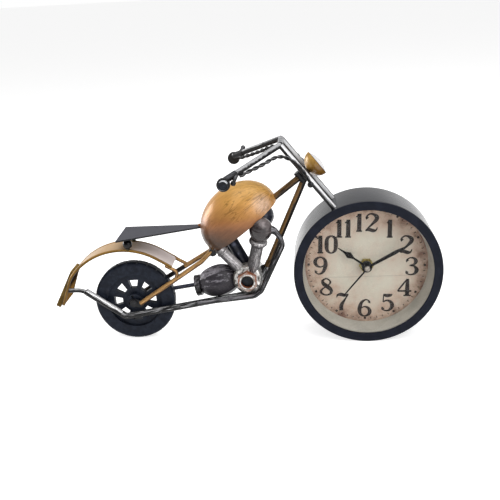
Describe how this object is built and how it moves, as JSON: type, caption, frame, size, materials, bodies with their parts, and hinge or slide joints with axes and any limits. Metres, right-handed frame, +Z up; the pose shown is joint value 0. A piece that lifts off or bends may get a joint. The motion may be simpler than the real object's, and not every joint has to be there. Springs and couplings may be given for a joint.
{
  "type": "motorcycle desk clock",
  "caption": "Welded rod and sheet-metal chopper ornament whose front wheel is a round battery clock; the rear wheel rolls and the clock hands turn.",
  "frame": {"origin": "on the ground under the middle of the whole length", "axes": "+X forward to the clock, +Y to the bike's left, +Z up; the clock faces -Y"},
  "size_m": [0.3076, 0.103, 0.16],
  "materials": {
    "gold_paint": "brushed gold-orange lacquer with darkened edges",
    "gold_sheet": "pale gold lacquer on bent sheet",
    "bronze_tube": "gold lacquer rubbed over dark brown",
    "black_steel": "black lacquer, rubbed",
    "brushed_steel": "bare silver brushed over black",
    "dark_steel": "black lacquer dry-brushed with silver",
    "copper_nut": "copper wash",
    "cable_wire": "blackened twisted wire",
    "seat_black": "matte black-grey",
    "wheel_slate": "matte slate black",
    "drum_black": "matte black",
    "clear_glass": "clear flat glass",
    "lens_white": "white lens",
    "ring_white": "off-white moulded ring",
    "dial_face": "aged parchment print",
    "movement_plastic": "moulded black",
    "nut_brass": "bright brass",
    "hand_black": "black lacquer",
    "knob_plastic": "white moulded knob",
    "battery_wrap": "plain sleeve"
  },
  "bodies": {
    "frame": {"fuel_tank": "gold_paint", "headlight_bowl": "gold_paint", "fender": "gold_sheet", "tail_plate": "gold_sheet", "backbone_tube": "bronze_tube", "down_tube": "bronze_tube", "seat_stay_right": "bronze_tube", "seat_stay_left": "bronze_tube", "fender_stays": "bronze_tube", "neck_block": "black_steel", "fork_yoke": "black_steel", "stay_spreader": "black_steel", "axle_tabs": "black_steel", "tail_stay": "black_steel", "engine_bracket": "black_steel", "seat_balls": "black_steel", "grip_right": "black_steel", "grip_left": "black_steel", "cable_clips": "black_steel", "intake_tube": "black_steel", "drive_shaft": "black_steel", "fork_leg_right": "brushed_steel", "fork_leg_left": "brushed_steel", "fork_crossbar": "brushed_steel", "handlebar_right": "brushed_steel", "handlebar_left": "brushed_steel", "lever_right": "brushed_steel", "lever_left": "brushed_steel", "tail_pipe": "brushed_steel", "rear_axle": "brushed_steel", "lower_rail": "dark_steel", "exhaust_pipe": "dark_steel", "gearbox": "dark_steel", "gearbox_flange": "dark_steel", "crankcase": "dark_steel", "front_barrel_right": "dark_steel", "front_barrel_left": "dark_steel", "front_head_right": "dark_steel", "front_head_left": "dark_steel", "rear_barrel_right": "dark_steel", "rear_barrel_left": "dark_steel", "crank_nuts": "copper_nut", "cable_right": "cable_wire", "cable_left": "cable_wire", "seat_plate": "seat_black", "clock_drum": "drum_black", "back_plate": "drum_black", "glass": "clear_glass", "headlight_lens": "lens_white", "spacer_ring": "ring_white", "dial_plate": "dial_face", "movement": "movement_plastic", "movement_nut": "nut_brass", "battery": "battery_wrap"},
    "rear_wheel": {"tyre": "wheel_slate", "wheel_disc": "wheel_slate"},
    "minute_hand": {"minute_hand": "hand_black"},
    "hour_hand": {"hour_hand": "hand_black"},
    "second_hand": {"second_hand": "hand_black"},
    "setting_knob": {"setting_knob": "knob_plastic"}
  },
  "joints": [
    {"name": "wheel_roll", "type": "hinge", "parent": "frame", "child": "rear_wheel", "pos_m": [-0.08999, 0, 0.0327], "axis": [0, 1, 0], "continuous": true},
    {"name": "minute_turn", "type": "hinge", "parent": "frame", "child": "minute_hand", "pos_m": [0.09681, 0, 0.057], "axis": [0, 1, 0], "continuous": true},
    {"name": "hour_turn", "type": "hinge", "parent": "frame", "child": "hour_hand", "pos_m": [0.09681, 0, 0.057], "axis": [0, 1, 0], "continuous": true},
    {"name": "second_turn", "type": "hinge", "parent": "frame", "child": "second_hand", "pos_m": [0.09681, 0, 0.057], "axis": [0, 1, 0], "continuous": true},
    {"name": "knob_turn", "type": "hinge", "parent": "frame", "child": "setting_knob", "pos_m": [0.09681, 0, 0.071], "axis": [0, 1, 0], "continuous": true}
  ],
  "couplings": [
    {"joint": "hour_turn", "follows": "minute_turn", "ratio": 0.083333},
    {"joint": "knob_turn", "follows": "minute_turn", "ratio": -1}
  ]
}
